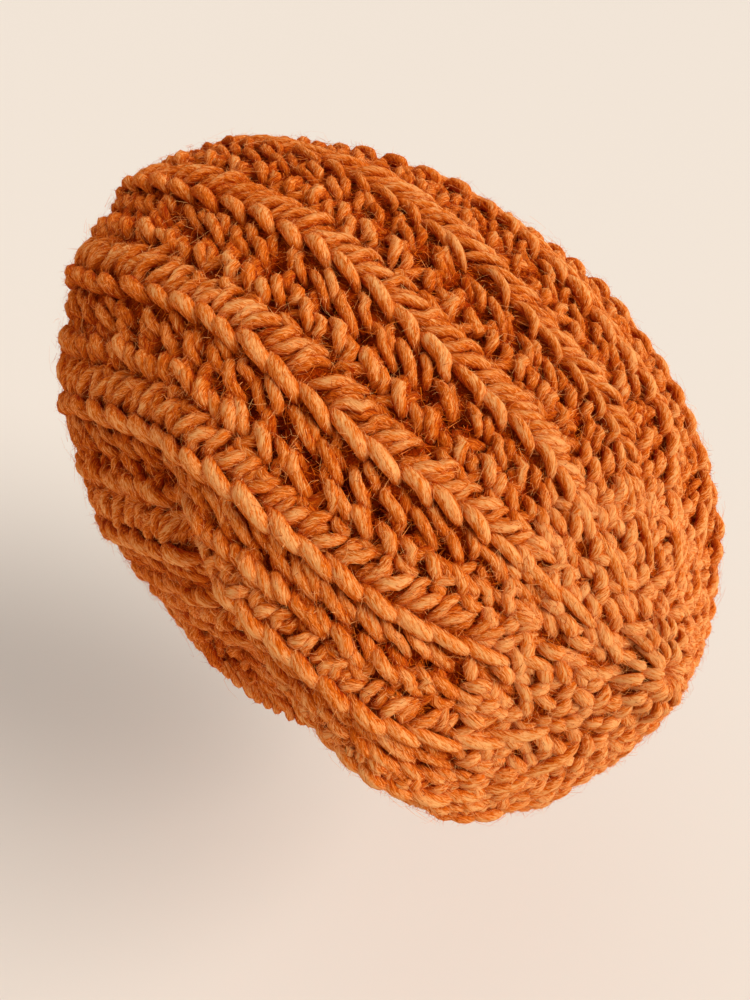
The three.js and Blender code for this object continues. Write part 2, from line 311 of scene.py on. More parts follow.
def along_table(rows, at):
    """Smooth curve through the rows of a table, for every column after the first."""
    at = np.asarray(at, float)
    last = len(rows) - 1
    places, values = rows[:, 0], rows[:, 1:]
    i = np.clip(np.searchsorted(places, at, side="left") - 1, 0, last - 1)
    slope = np.diff(values, axis=0) / np.diff(places)[:, None]
    tangent = np.concatenate([slope[:1], (slope[1:] + slope[:-1]) / 2, slope[-1:]])
    width = places[i + 1] - places[i]
    t = ((at - places[i]) / width)[..., None]
    width = width[..., None]
    t2, t3 = t * t, t ** 3
    return (
        (2 * t3 - 3 * t2 + 1) * values[i] + (t3 - 2 * t2 + t) * width * tangent[i]
        + (3 * t2 - 2 * t3) * values[i + 1] + (t3 - t2) * width * tangent[i + 1]
    )


def form_point(rows, angle, along):
    """A point of a smooth form, in mm, at an angle from the top line."""
    q = along_table(rows, along)
    back, up, tilt, side, top, bottom = [q[..., k] for k in range(6)]
    tilt = np.radians(tilt)
    turn = np.radians(angle)
    lift = np.cos(turn)
    rise = lift * np.where(lift > 0, top, bottom)
    return np.stack([np.sin(turn) * side, back - np.cos(tilt) * rise, up + np.sin(tilt) * rise], -1)


def unit(vectors):
    """The same vectors with length one."""
    return vectors / (np.linalg.norm(vectors, axis=-1, keepdims=True) + 1e-12)


def form_axes(rows, angle, along):
    """The directions along the ribs and outward at a place on a form."""
    before = np.clip(along - 0.004, 0, 1)
    after = np.clip(along + 0.004, 0, 1)
    ahead = unit(form_point(rows, angle, after) - form_point(rows, angle, before))
    around = form_point(rows, angle + 1, along) - form_point(rows, angle - 1, along)
    return ahead, unit(np.cross(around, ahead))


def crease_depth(angle, along):
    """How far the crease draws the cloth in."""
    turned = np.mod(angle, 360)
    side = np.minimum(turned, 360 - turned)
    q = along_table(CREASE, side)
    return np.maximum(q[..., 1], 0) * np.exp(-(((along - q[..., 0]) / CREASE_WIDTH) ** 2))


def rib_angle(rib, along):
    """The angle of a place counted in ribs from the seam."""
    turn = along_table(OUTER_FORM, along)[..., 6]
    return SEAM_ANGLE + rib * 360 / RIBS + turn


def on_form(rows, rib, along, height):
    """A point in mm over a form, and the outward direction there. Past the brim it runs on."""
    rib, along, height = np.broadcast_arrays(rib * 1.0, along * 1.0, height * 1.0)
    inside = np.clip(along, 0, 1)
    angle = rib_angle(rib, inside)
    ahead, outward = form_axes(rows, angle, inside)
    rise = height - crease_depth(angle, inside)
    spare = (along - inside) * STITCHES * STITCH_PITCH
    point = form_point(rows, angle, inside) + outward * rise[..., None] + ahead * spare[..., None]
    return point, outward


def closeness(along):
    """How narrow a rib is at a place, as a share of its widest."""
    q = along_table(OUTER_FORM, np.clip(along, 0, 1))
    girth = np.pi * (q[..., 3] + (q[..., 4] + q[..., 5]) / 2)
    return np.clip(girth / (RIBS * RIB_PERIOD), 0.1, 1.0)


def relief_share(along):
    """How much of the ribs' relief is left where the crown is drawn in."""
    return RELIEF_LEFT + (1 - RELIEF_LEFT) * np.minimum(closeness(along) * 1.4, 1)


def hole_offset(rib, along):
    """The way from a stitch's dark gap to a place: in ribs round the hat, in stitches along it."""
    return np.mod(rib, 1) - HOLE_RIB, np.mod(along * STITCHES - HOLE_STITCH + 0.5, 1) - 0.5


def draws(scene, piece, number=0):
    """The random numbers of a piece, the same in every run."""
    return np.random.default_rng(scene.beanie_yarn.seed + SEED_STEPS[piece] + number)


def smooth_steps(points, steps):
    """Weights of a smooth curve through evenly spaced control points."""
    weights = np.zeros((steps, points))
    for k, at in enumerate(np.linspace(0, points - 1, steps)):
        i = min(int(at), points - 2)
        t = at - i
        parts = (
            (i - 1, (-t + 2 * t ** 2 - t ** 3) / 2), (i, (2 - 5 * t ** 2 + 3 * t ** 3) / 2),
            (i + 1, (t + 4 * t ** 2 - 3 * t ** 3) / 2), (i + 2, (t ** 3 - t ** 2) / 2),
        )
        for index, weight in parts:
            weights[k, min(max(index, 0), points - 1)] += weight
    return weights


def smooth_paths(control, steps):
    """Smooth curves through control points, for many strands at once."""
    return np.einsum("sc,ncd->nsd", smooth_steps(control.shape[1], steps), control)


def strand_axes(path, outward):
    """The directions along, across and over each strand, at each step."""
    ahead = unit(np.gradient(path, axis=1))
    across = unit(np.cross(ahead, outward))
    return ahead, across, unit(np.cross(across, ahead))


def new_piece(name, points, faces, material, uv=None, values=None):
    """A smooth mesh in metres from points in mm, ready to ride on the hat."""
    mesh = bpy.data.meshes.new(name)
    faces = np.asarray(faces)
    mesh.vertices.add(len(points))
    mesh.vertices.foreach_set("co", (points / MM).astype(np.float32).ravel())
    corners = faces.shape[1]
    mesh.loops.add(faces.size)
    mesh.loops.foreach_set("vertex_index", faces.astype(np.int32).ravel())
    mesh.polygons.add(len(faces))
    mesh.polygons.foreach_set("loop_start", np.arange(0, faces.size, corners, dtype=np.int32))
    mesh.polygons.foreach_set("loop_total", np.full(len(faces), corners, dtype=np.int32))
    mesh.polygons.foreach_set("use_smooth", np.ones(len(faces), dtype=bool))
    if uv is not None:
        layer = mesh.uv_layers.new(name="yarn")
        layer.data.foreach_set("uv", uv.astype(np.float32).ravel())
    for key, numbers in (values or {}).items():
        attribute = mesh.attributes.new(key, "FLOAT", "POINT")
        attribute.data.foreach_set("value", numbers.astype(np.float32).ravel())
    mesh.update(calc_edges=True)
    mesh.materials.append(material)
    piece = bpy.data.objects.new(name, mesh)
    bpy.context.scene.collection.objects.link(piece)
    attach(piece, "root")
    return piece


def lay_strands(name, path, outward, half_width, half_depth, tone, depth, material, sides=7):
    """Round strands along many paths at once: path is strands by steps by three, in mm."""
    count, steps = path.shape[:2]
    _, across, over = strand_axes(path, outward)
    turn = np.linspace(-np.pi / 2, 3 * np.pi / 2, sides, endpoint=False)
    ring = (
        np.cos(turn)[None, None, :, None] * (across * half_width[..., None])[:, :, None]
        + np.sin(turn)[None, None, :, None] * (over * half_depth[..., None])[:, :, None]
    )
    points = (path[:, :, None] + ring).reshape(-1, 3)
    strand, step, side = np.meshgrid(
        np.arange(count), np.arange(steps - 1), np.arange(sides), indexing="ij")
    base = strand * steps * sides
    here = base + step * sides
    beyond = here + sides
    nxt = (side + 1) % sides
    faces = np.stack([here + side, here + nxt, beyond + nxt, beyond + side], -1).reshape(-1, 4)
    spans = np.linalg.norm(np.diff(path, axis=1), axis=-1)
    run = np.concatenate([np.zeros((count, 1)), np.cumsum(spans, axis=1)], axis=1)
    u0 = run[strand, step]
    u1 = run[strand, step + 1]
    v0 = side / sides
    v1 = (side + 1) / sides
    uv = np.stack([np.stack([u0, v0], -1), np.stack([u0, v1], -1),
                   np.stack([u1, v1], -1), np.stack([u1, v0], -1)], -2).reshape(-1, 2)
    tones = np.broadcast_to(tone[:, None, None], (count, steps, sides))
    # Painted light round each strand: full on its top, little underneath.
    depths = depth[:, :, None] * strand_light(turn)[None, None, :]
    return new_piece(name, points, faces, material, uv, {"tone": tones, "depth": depths})


def strand_light(turn):
    """How much light reaches a place round a strand: 1 on its top, little underneath."""
    return (0.52 + 0.48 * np.sin(turn)) ** 1.3


def slivers(name, root, tip, facing, width, root_tone, tip_tone, material):
    """Short fibres: one thin triangle each, wide at the root and pointed at the tip."""
    across = unit(np.cross(tip - root, facing)) * width[:, None] / 2
    points = np.stack([root - across, root + across, tip], 1).reshape(-1, 3)
    faces = np.arange(len(points)).reshape(-1, 3)
    tones = np.clip(np.stack([root_tone, root_tone, tip_tone], 1), 0, 1)
    return new_piece(name, points, faces, material, None, {"tone": tones})


def fibres_on_strands(name, rng, share, fuzz, material):
    """Short fibres that lie along the laid strands and leave them at their tips."""
    if not LAID:
        raise RuntimeError("the strands are laid before their fibres")
    rows = []
    for key in sorted(LAID):
        path, outward, half_width, half_depth, depth = LAID[key]
        count, steps = path.shape[:2]
        number = int(count * share)
        girth = half_width.max(axis=1)
        strand = rng.choice(count, number, p=girth / girth.sum())
        place = rng.uniform(0.03, 0.97, number) * (steps - 1)
        before = np.minimum(place.astype(int), steps - 2)
        part = (place - before)[:, None]
        ahead, across, over = strand_axes(path, outward)
        sizes = np.stack([half_width, half_depth, depth], -1)
        here, forward, aside, above, size = [
            values[strand, before] * (1 - part) + values[strand, before + 1] * part
            for values in (path, ahead, across, over, sizes)]
        turn = rng.normal(np.pi / 2, FIBRE_TURN, number)
        clump_turn = turn - TWIST * CLUMP_WIND * place / (steps - 1)
        clump = np.floor(np.mod(clump_turn / (2 * np.pi), 1) * CLUMPS).astype(int)
        clump_tone = rng.normal(0, CLUMP_TONE, (count, CLUMPS))[strand, clump]
        cos, sin = np.cos(turn)[:, None], np.sin(turn)[:, None]
        wide, high = size[:, :1], size[:, 1:2]
        root = here + aside * cos * wide + above * sin * high
        normal = unit(aside * cos * high + above * sin * wide)
        around = unit(above * cos * high - aside * sin * wide)
        astray = rng.uniform(0, 1, number) < STRAY_SHARE
        stray_twist = rng.normal(0, STRAY_SPREAD, number)
        twist = np.where(astray, stray_twist, rng.normal(TWIST, TWIST_SPREAD, number))[:, None]
        way = rng.choice([-1.0, 1.0], number)[:, None]
        stray_lift = rng.gamma(2.0, 0.26, number)
        lift = np.where(astray, stray_lift, rng.gamma(1.2, 0.10, number))[:, None]
        flat = (forward * np.cos(twist) + around * np.sin(twist)) * way
        reach = fuzz.sliver * MM * FIBRE_REACH * girth[strand, None]
        length = reach * rng.gamma(6.0, 1 / 6, number)[:, None]
        length = length * np.where(astray, STRAY_LENGTH, 1.0)[:, None]
        tip = root + (flat * np.cos(lift) + normal * np.sin(lift)) * length
        facing = unit(normal + rng.normal(0, 0.3, root.shape))
        # Painted light: a fibre takes its strand's light share at its place round it, with the random
        # tone of its clump and its own.
        tone = size[:, 2] * strand_light(turn) + clump_tone + rng.normal(0.0, TONE_SPREAD, number)
        tone = tone + STRAY_TONE * astray
        rows.append((root, tip, facing, tone))
    root, tip, facing, tone = [np.concatenate(column) for column in zip(*rows)]
    width = fuzz.width * MM * rng.uniform(0.7, 1.3, len(root))
    return slivers(name, root, tip, facing, width, tone, tone + 0.04, material)


def ribbons(name, path, rng, width, material):
    """Long loose fibres: flat tapering ribbons, one for each path."""
    count, steps = path.shape[:2]
    ahead = unit(np.gradient(path, axis=1))
    facing = unit(rng.normal(0, 1, (count, 1, 3)))
    across = unit(np.cross(ahead, facing)) * width / 2
    taper = np.linspace(1.0, 0.35, steps)[None, :, None]
    ribbon = np.stack([path - across * taper, path + across * taper], 2)
    fibre, step = np.meshgrid(np.arange(count), np.arange(steps - 1), indexing="ij")
    first = fibre * steps * 2 + step * 2
    faces = np.stack([first, first + 1, first + 3, first + 2], -1).reshape(-1, 4)
    tone = np.repeat(rng.uniform(0.35, 0.95, count), steps * 2)
    return new_piece(name, ribbon.reshape(-1, 3), faces, material, None, {"tone": tone})


def matted_fibres(rng, count, fuzz, material):
    """Fibres that lie every way on the cloth behind the strands, and sink into its gaps, where painted
    shade darkens them.
    """
    rib, along = rng.uniform(0, RIBS, count), rng.uniform(0.0, 0.97, count)
    heights = rng.uniform(-4.3, -2.4, count)
    aside, ahead = hole_offset(rib, along)
    sunk = (np.abs(aside) < HOLE_RIB_WIDTH) & (np.abs(ahead) < HOLE_OPEN_WIDTH)
    heights = np.where(sunk, heights - HOLE_FIBRE_DEPTH, heights)
    root, outward = on_form(OUTER_FORM, rib, along, heights * relief_share(along) - LAID_UNDER)
    ahead, _ = form_axes(OUTER_FORM, rib_angle(rib, along), along)
    heading = rng.uniform(0, 2 * np.pi, count)[:, None]
    flat = ahead * np.cos(heading) + np.cross(ahead, outward) * np.sin(heading)
    length = fuzz.sliver * MM * MATTED_REACH * rng.gamma(6.0, 1 / 6, count)[:, None]
    tip = root + (flat + outward * rng.normal(0.03, 0.09, count)[:, None]) * length
    facing = unit(outward + rng.normal(0, 0.3, root.shape))
    # Painted shade: the fibres sunk in a gap are darker.
    tone = rng.normal(0.26, 0.20, count) - 0.35 * sunk
    width = fuzz.width * MM * rng.uniform(1.0, 1.8, count)
    return slivers("matted_fibres", root, tip, facing, width, tone, tone + 0.1, material)


def loose_fibres(rng, count, fuzz, material):
    """Long fibres that wander over the strands and stand out of them."""
    rib, along = rng.uniform(0, RIBS, count), rng.uniform(0.0, 0.985, count)
    here = np.stack([rib * 0, rib * 0, rng.uniform(-2.5, 1.0, count)], -1)
    heading = rng.uniform(0, 2 * np.pi, count)
    bend = rng.normal(0, 1.7, count)
    length = fuzz.length * MM * rng.gamma(4.0, 0.25, count)
    rise = rng.normal(0.12, 0.2, count)
    points = []
    for step in range(4):
        points.append(here.copy())
        turn = heading + bend * step / 2
        here[:, 0] += np.cos(turn) * length / 3
        here[:, 1] += np.sin(turn) * length / 3
        here[:, 2] += rise * length / 3
    points = np.stack(points, 1)
    heights = np.clip(points[:, :, 2], -5.0, 2.8)
    ribs = rib[:, None] + points[:, :, 0] / (RIB_PERIOD * closeness(along)[:, None])
    places = along[:, None] + points[:, :, 1] / (STITCHES * STITCH_PITCH)
    path, _ = on_form(OUTER_FORM, ribs, np.minimum(places, 0.995), heights - LAID_UNDER)
    return ribbons("loose_fibres", path, rng, fuzz.width * MM * LOOSE_WIDTH, material)


def lit_share(height):
    """How much light reaches a height over the crest line: 1 on top, 0 deep in a gap."""
    return np.clip((height - UNLIT_HEIGHT) / LIT_RISE, 0, 1)


def stitch_grid(rng, last):
    """The rib and stitch number of every stitch, with the small wander of handwork."""
    rib, stitch = np.meshgrid(np.arange(RIBS), np.arange(last), indexing="ij")
    offset = rng.uniform(-0.25, 0.25, RIBS)[:, None]
    wave = 0.018 * np.sin(stitch * 0.7 + rib * 2.1)
    return (rib + wave).ravel(), (stitch + offset).ravel()


def scatter(rng, spread, each, count, steps):
    """Chance that moves each strand as a whole, and each of its points a little more."""
    return rng.normal(0, spread, (count, 1)) + rng.normal(0, each, (count, steps))


def stitch_strands(scene, name, shape, wide, deep, rng, steps=8, last=CROWN_START, keep=None,
                   wander=1.0, lift=0.0, sides=6, shade=1.0, brim_shade=0.0):
    """One kind of strand in every stitch: wide and deep are shares of the yarn's thickness."""
    half = scene.beanie_yarn.thickness * MM / 2
    rib, stitch = stitch_grid(np.random.default_rng(GRID_SEED), last)
    if keep is not None:
        chosen = keep(np.round(rib).astype(int) % RIBS)
        rib, stitch = rib[chosen], stitch[chosen]
    count = len(rib)
    control = np.array(shape)
    points = np.broadcast_to(control, (count,) + control.shape).copy()
    points[:, :, 0] += scatter(rng, WANDER_RIB * wander, POINT_RIB * wander, *points.shape[:2])
    points[:, :, 1] += scatter(rng, WANDER_STITCH * wander, POINT_STITCH * wander, *points.shape[:2])
    points[:, :, 2] += rng.normal(0, WANDER_HEIGHT * wander, (count, 1)) + lift
    curve = smooth_paths(points, steps)
    ribs = rib[:, None] + curve[:, :, 0]
    along = (stitch[:, None] + curve[:, :, 1]) / STITCHES
    near = closeness(along)
    heights = curve[:, :, 2] * relief_share(along)
    path, outward = on_form(OUTER_FORM, ribs, np.clip(along, 0.001, 0.985), heights - LAID_UNDER)
    t = np.linspace(0, 1, steps)
    plump = np.clip(np.sin(np.pi * t), 0, 1) ** 0.42
    plump = np.maximum(plump, 0.16)[None] * 1.06
    size = (0.55 + 0.45 * near) * rng.uniform(0.9, 1.1, (count, 1))
    # Painted shade toward the brim, where the strands are given less light.
    painted_brim_light = 1 - brim_shade * (1 - np.clip((along - 0.2) / 0.35, 0, 1))
    tone = rng.uniform(0, 1, count)
    # Painted light: each strand is darker the deeper it lies, and darker again by its kind's shade and
    # the shade toward the brim.
    return dressed_strands(name, path, outward, half * wide * plump * size, half * deep * plump * size,
                           tone, lit_share(heights) * shade * painted_brim_light, hat_yarn(scene), sides)


def dressed_strands(name, path, outward, half_width, half_depth, tone, depth, material, sides=6):
    """Strands of the outer face, which loose fibres are to grow on."""
    LAID[name] = (path, outward, half_width, half_depth, depth)
    return lay_strands(name, path, outward, half_width, half_depth, tone, depth, material, sides)


def bare_material(name, roughness, specular):
    """A new material, with its nodes, their links and the shader of its surface."""
    material = bpy.data.materials.new(name)
    material.use_nodes = True
    nodes, links = material.node_tree.nodes, material.node_tree.links
    shader = nodes["Principled BSDF"]
    shader.inputs["Roughness"].default_value = roughness
    shader.inputs["Specular IOR Level"].default_value = specular
    return material, nodes, links, shader


def mesh_value(nodes, name):
    """The socket of a value that the mesh holds at its points."""
    node = nodes.new("ShaderNodeAttribute")
    node.attribute_name = name
    return node.outputs["Fac"]


def colour_by(nodes, links, value, shader, stops):
    """Colour the surface by a value: the stops are places and colours, from low to high."""
    ramp = nodes.new("ShaderNodeValToRGB")
    elements = ramp.color_ramp.elements
    for element, (place, colour) in zip(elements, (stops[0], stops[-1])):
        element.position = place
        element.color = (*colour, 1)
    for place, colour in stops[1:-1]:
        elements.new(place).color = (*colour, 1)
    links.new(value, ramp.inputs["Fac"])
    links.new(ramp.outputs["Color"], shader.inputs["Base Color"])


def raise_by(nodes, links, value, shader, strength, distance):
    """Fine relief on the surface: the distance is in metres."""
    bump = nodes.new("ShaderNodeBump")
    bump.inputs["Strength"].default_value = strength
    bump.inputs["Distance"].default_value = distance
    links.new(value, bump.inputs["Height"])
    links.new(bump.outputs["Normal"], shader.inputs["Normal"])


def yarn_material(name, colours):
    """Wool roving: pale and dark fibres that run along the strand with a slight twist, lit and shaded
    by painted light that the mesh holds.
    """
    material, nodes, links, shader = bare_material(name, 0.95, 0.04)
    shader.inputs["Sheen Weight"].default_value = 0.06
    shader.inputs["Sheen Roughness"].default_value = 0.5
    shader.inputs["Sheen Tint"].default_value = (1.0, 0.45, 0.15, 1)
    lit, body, deep = colours
    uv = nodes.new("ShaderNodeUVMap")
    uv.uv_map = "yarn"
    parts = nodes.new("ShaderNodeSeparateXYZ")
    links.new(uv.outputs["UV"], parts.inputs["Vector"])
    tone = mesh_value(nodes, "tone")
    depth = mesh_value(nodes, "depth")

    def maths(operation, a, b):
        """Two sockets or numbers, put together."""
        node = nodes.new("ShaderNodeMath")
        node.operation = operation
        for socket, value in ((node.inputs[0], a), (node.inputs[1], b)):
            if isinstance(value, (int, float)):
                socket.default_value = value
            else:
                links.new(value, socket)
        return node.outputs[0]

    def streaks(stretch, around, twist, detail):
        """Noise drawn out along the strand and wound round it."""
        vector = nodes.new("ShaderNodeCombineXYZ")
        links.new(maths("MULTIPLY", parts.outputs["X"], stretch), vector.inputs["X"])
        wound = maths("ADD", maths("MULTIPLY", parts.outputs["Y"], around),
                      maths("MULTIPLY", parts.outputs["X"], twist))
        links.new(wound, vector.inputs["Y"])
        links.new(maths("MULTIPLY", tone, 57.0), vector.inputs["Z"])
        noise = nodes.new("ShaderNodeTexNoise")
        noise.inputs["Scale"].default_value = 1.0
        noise.inputs["Detail"].default_value = detail
        noise.inputs["Roughness"].default_value = 0.65
        noise.inputs["Distortion"].default_value = 0.8
        links.new(vector.outputs["Vector"], noise.inputs["Vector"])
        return noise.outputs["Fac"]

    fine = streaks(0.6, 27.0, 1.05, 4.0)
    broad = streaks(0.16, 7.0, 0.26, 2.0)
    place = maths("ADD", maths("MULTIPLY", fine, 2.3), maths("MULTIPLY", broad, 0.9))
    place = maths("ADD", place, maths("MULTIPLY", tone, 0.14))
    # Painted light: the mesh's light share moves the colour from the shaded one to the lit one.
    place = maths("SUBTRACT", maths("ADD", place, depth), 1.72)
    colour_by(nodes, links, place, shader, ((0.08, deep), (0.5, body), (0.95, lit)))
    relief = maths("ADD", fine, maths("MULTIPLY", broad, 0.8))
    raise_by(nodes, links, relief, shader, 0.8, 0.0008)
    return material


def ground_material(name, colours):
    """The matted cloth behind the strands, its colour set by painted light and shade that the mesh
    holds, nearly black in the gaps.
    """
    material, nodes, links, shader = bare_material(name, 0.95, 0.02)
    _, body, deep = colours
    place = nodes.new("ShaderNodeTexCoord")
    fine = nodes.new("ShaderNodeTexNoise")
    fine.inputs["Scale"].default_value = 900.0
    fine.inputs["Detail"].default_value = 4.0
    fine.inputs["Distortion"].default_value = 1.2
    links.new(place.outputs["Object"], fine.inputs["Vector"])
    mix = nodes.new("ShaderNodeMath")
    mix.operation = "MULTIPLY_ADD"
    links.new(mesh_value(nodes, "depth"), mix.inputs[0])
    mix.inputs[1].default_value = 0.45
    links.new(fine.outputs["Fac"], mix.inputs[2])
    colour_by(nodes, links, mix.outputs[0], shader, (
        (0.40, (deep[0] * 0.12, deep[1] * 0.1, 0)),
        (0.7, (deep[0] * 0.68, deep[1] * 0.75, 0)),
        (1.0, (body[0] * 0.8, body[1] * 0.7, body[2] * 0.5)),
    ))
    raise_by(nodes, links, fine.outputs["Fac"], shader, 0.9, 0.0007)
    return material


def fibre_material(name, colours):
    """Single fibres, by their tone: the short ones carry painted shade deep between the strands and
    painted light on top.
    """
    material, nodes, links, shader = bare_material(name, 0.9, 0.05)
    lit, body, deep = colours
    stops = ((0.1, deep), (0.5, body), (0.95, lit))
    colour_by(nodes, links, mesh_value(nodes, "tone"), shader, stops)
    return material


def material_named(name, make, *settings):
    """The material with this name, made the first time that it is asked for."""
    return bpy.data.materials.get(name) or make(name, *settings)


def yarn_colours(scene):
    """The yarn's three colours, from the palest: painted light, the yarn's own colour and painted
    shade.
    """
    yarn = scene.beanie_yarn
    return tuple(yarn.lit), tuple(yarn.body), tuple(yarn.deep)


def hat_yarn(scene):
    """The material of every strand."""
    return material_named("hat_yarn", yarn_material, yarn_colours(scene))


class BEANIE_OT_ground(bpy.types.Operator):
    """Make the cloth behind the strands, outside and inside"""

    bl_idname = "beanie.ground"
    bl_label = "Cloth behind the strands"

    def execute(self, context):
        material = material_named("hat_ground", ground_material, yarn_colours(context.scene))
        around = RIBS * GROUND_COLUMNS
        columns = np.arange(around) / GROUND_COLUMNS
        outer_rows = np.linspace(0, 1, STITCHES * GROUND_ROWS + 1)
        rib, along = np.meshgrid(columns, outer_rows, indexing="ij")
        aside, ahead = hole_offset(rib, along)
        open_share = np.clip((along - 0.1) / 0.3, 0.4, 1) * relief_share(along)
        deep = open_share * np.exp(-((aside / HOLE_RIB_WIDTH) ** 2) - (ahead / HOLE_STITCH_WIDTH) ** 2)
        rise = GROUND_HEIGHT + GROUND_WAVE * np.cos(2 * np.pi * np.mod(rib, 1)) - HOLE_DEPTH * deep
        seam = np.exp(-((np.minimum(rib, RIBS - rib) / SEAM_WIDTH) ** 2))
        rise = (rise - SEAM_SINK * seam) * relief_share(along)
        outer, _ = on_form(OUTER_FORM, rib, along, rise - LAID_UNDER)
        inner_rows = np.linspace(1, 0, GROUND_INNER_ROWS + 1)
        rib, along = np.meshgrid(columns, inner_rows, indexing="ij")
        inner, _ = on_form(INNER_FORM, rib, along, GROUND_INNER_HEIGHT)
        points = np.concatenate([outer, inner], axis=1)
        rows = points.shape[1]
        i, j = np.meshgrid(np.arange(around), np.arange(rows), indexing="ij")
        k, after = (i + 1) % around, (j + 1) % rows
        corners = (i * rows + j, k * rows + j, k * rows + after, i * rows + after)
        faces = np.stack(corners, -1).reshape(-1, 4)
        # Painted light on the cloth: even inside. Outside it is darker the lower it lies and in each
        # stitch's gap, but less dark toward the brim.
        depth = np.full((around, rows), 0.75)
        near_brim = np.clip(1 - outer_rows / 0.4, 0, 1)
        depth[:, :len(outer_rows)] = np.maximum(lit_share(rise) * (1 - deep), 0.6 * near_brim)
        points = points.reshape(-1, 3)
        piece = new_piece("cloth_ground", points, faces, material, None, {"depth": depth})
        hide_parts("ribbed_body")
        return {"FINISHED"}


class BEANIE_OT_ropes(bpy.types.Operator):
    """Lay the rope of overlapping strands on the crest of each rib"""

    bl_idname = "beanie.ropes"
    bl_label = "Rib ropes"

    def execute(self, context):
        scene = context.scene
        ropes = stitch_strands(scene, "rib_ropes", ROPE, 1.06, 0.96, draws(scene, "ropes"),
                               keep=lambda rib: rib != 0, wander=0.9, sides=7, **ROPE_LAY)
        return {"FINISHED"}


class BEANIE_OT_seam(bpy.types.Operator):
    """Lay the thinner chain along the seam, sunk between its neighbours"""

    bl_idname = "beanie.seam"
    bl_label = "Seam chain"

    def execute(self, context):
        scene = context.scene
        seam = stitch_strands(scene, "seam_chain_yarn", ROPE, 0.78, 0.8, draws(scene, "seam"),
                              keep=lambda rib: rib == 0, wander=1.6, lift=-0.4, **ROPE_LAY)
        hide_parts("seam_chain")
        return {"FINISHED"}


class BEANIE_OT_loops(bpy.types.Operator):
    """Lay the leaning loops between the ropes, one kind after another"""

    bl_idname = "beanie.loops"
    bl_label = "Loops between the ropes"

    def execute(self, context):
        scene = context.scene
        for number, (name, shape, wide, deep, wander) in enumerate(LOOP_KINDS):
            rng = draws(scene, "loops", number)
            piece = stitch_strands(
                scene, name, shape, wide, deep, rng, wander=wander, brim_shade=LOOP_BRIM_SHADE)
        return {"FINISHED"}


class BEANIE_OT_inside(bpy.types.Operator):
    """Lay the flatter strands of the inner face"""

    bl_idname = "beanie.inside"
    bl_label = "Inner face"

    def execute(self, context):
        scene = context.scene
        rng = draws(scene, "inside")
        rows = np.arange(RIBS * 2) / 2
        grid = np.meshgrid(rows, np.arange(STITCHES - 2), [0, 1], indexing="ij")
        rib, stitch, lean = [numbers.ravel() for numbers in grid]
        count = len(rib)
        steps = 6
        start = rib + 0.25 * lean + rng.normal(0, 0.01, count)
        control = np.zeros((count, 4, 3))
        control[:, :, 0] = start[:, None] + np.array([0.01, 0.09, 0.17, 0.25])
        side = np.where(lean == 1, 1.0, -1.0)[:, None]
        control[:, :, 1] = stitch[:, None] + 0.5 + side * np.array([-0.46, -0.17, 0.17, 0.46])
        control[:, :, 1] += rng.normal(0, 0.05, (count, 1))
        control[:, :, 2] = np.array([1.2, -0.7, -0.7, 1.2])
        curve = smooth_paths(control, steps)
        along = np.clip(curve[:, :, 1] / STITCHES, 0.003, 0.97)
        path, outward = on_form(INNER_FORM, curve[:, :, 0], along, curve[:, :, 2])
        plump = np.maximum(np.sin(np.pi * np.linspace(0, 1, steps)), 0.2)[None] ** 0.5
        plump = plump * (0.4 + 0.6 * closeness(along))
        tone = rng.uniform(0, 1, count)
        # Painted shade: the whole inner face is given one even, lower light share.
        piece = lay_strands("inner_strands", path, -outward, 3.1 * plump, 1.5 * plump, tone,
                            np.full(path.shape[:2], 0.85), hat_yarn(scene), sides=4)
        return {"FINISHED"}


class BEANIE_OT_brim(bpy.types.Operator):
    """Lay the row ends that scallop the brim's edge"""

    bl_idname = "beanie.brim"
    bl_label = "Brim row ends"

    def execute(self, context):
        scene = context.scene
        rng = draws(scene, "brim")
        outside, inside, reach = [], [], []
        for row in range(RIBS * 2):
            for lane in range(BRIM_LANES):
                across = lane - (BRIM_LANES - 1) / 2
                rib = row / 2 + across * 0.115 + rng.normal(0, 0.012)
                reach.append(3.4 - 1.3 * abs(across) + rng.normal(0, 0.35))
                slant = rng.normal(0.03, 0.02)
                outside.append([(rib + slant * step, step, rise) for step, rise in BRIM_OUTSIDE])
                inside.append([(rib - slant * (1 + step), step, rise) for step, rise in BRIM_INSIDE])
        count = len(reach)
        out, inn, reach = np.array(outside), np.array(inside), np.array(reach)
        a, na = on_form(OUTER_FORM, out[..., 0], out[..., 1] / STITCHES, out[..., 2] - LAID_UNDER)
        b, nb = on_form(INNER_FORM, inn[..., 0], inn[..., 1] / STITCHES, inn[..., 2])
        ahead, _ = form_axes(OUTER_FORM, rib_angle(out[:, 2, 0], np.zeros(count)), np.zeros(count))
        tip = (a[:, 2] + b[:, 0]) / 2 - ahead * reach[:, None]
        control = np.concatenate([a, tip[:, None], b], axis=1)
        facing = np.concatenate([na, -ahead[:, None], -nb], axis=1)
        steps = 13
        path = smooth_paths(control, steps)
        outward = unit(smooth_paths(facing, steps))
        plump = np.maximum(np.sin(np.pi * np.linspace(0, 1, steps)), 0.15)[None] ** 0.45
        size = rng.uniform(0.9, 1.1, (count, 1)) * plump
        tone = rng.uniform(0, 1, count)
        # Painted shade: the brim's row ends are all given a lower light share.
        piece = dressed_strands("brim_row_ends", path, outward, 2.3 * size, 1.7 * size, tone,
                                np.full(path.shape[:2], 0.72), hat_yarn(scene))
        return {"FINISHED"}


